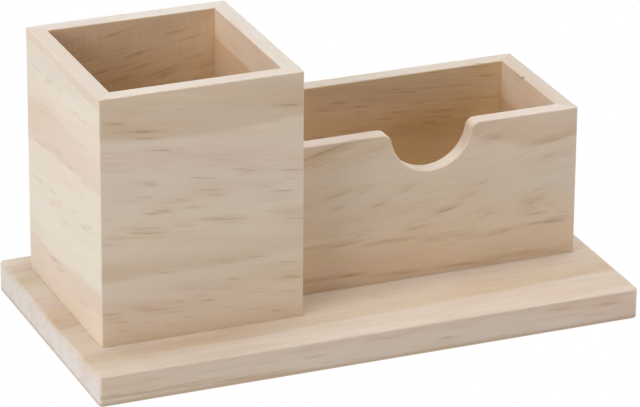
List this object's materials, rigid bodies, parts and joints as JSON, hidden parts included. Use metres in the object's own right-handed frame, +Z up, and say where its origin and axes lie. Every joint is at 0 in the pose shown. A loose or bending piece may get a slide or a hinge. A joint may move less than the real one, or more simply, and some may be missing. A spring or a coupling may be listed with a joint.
{
  "type": "pen holder",
  "caption": "Plain pine desk pen holder: a tall square pen cup beside a low card box with a half-round thumb notch, both standing on a flat base board.",
  "frame": {"origin": "middle of the base board's underside", "axes": "+X to the right along the base's long side, from the pen cup to the card box; +Y to the back; +Z up, square to the base"},
  "size_m": [0.2, 0.106, 0.1009],
  "materials": {
    "base_pine": "sanded bare pine, matt",
    "cup_pine": "sanded bare pine, matt",
    "card_pine": "sanded bare pine, matt",
    "pin_steel": "bright drawn wire"
  },
  "bodies": {
    "root": {"base_board": "base_pine", "pen_cup_front_wall": "cup_pine", "pen_cup_right_wall": "cup_pine", "pen_cup_back_wall": "cup_pine", "pen_cup_left_wall": "cup_pine", "pen_cup_pins": "pin_steel", "card_box_front_wall": "card_pine", "card_box_right_wall": "card_pine", "card_box_back_wall": "card_pine", "card_box_left_wall": "card_pine", "card_box_pins": "pin_steel"}
  },
  "joints": []
}
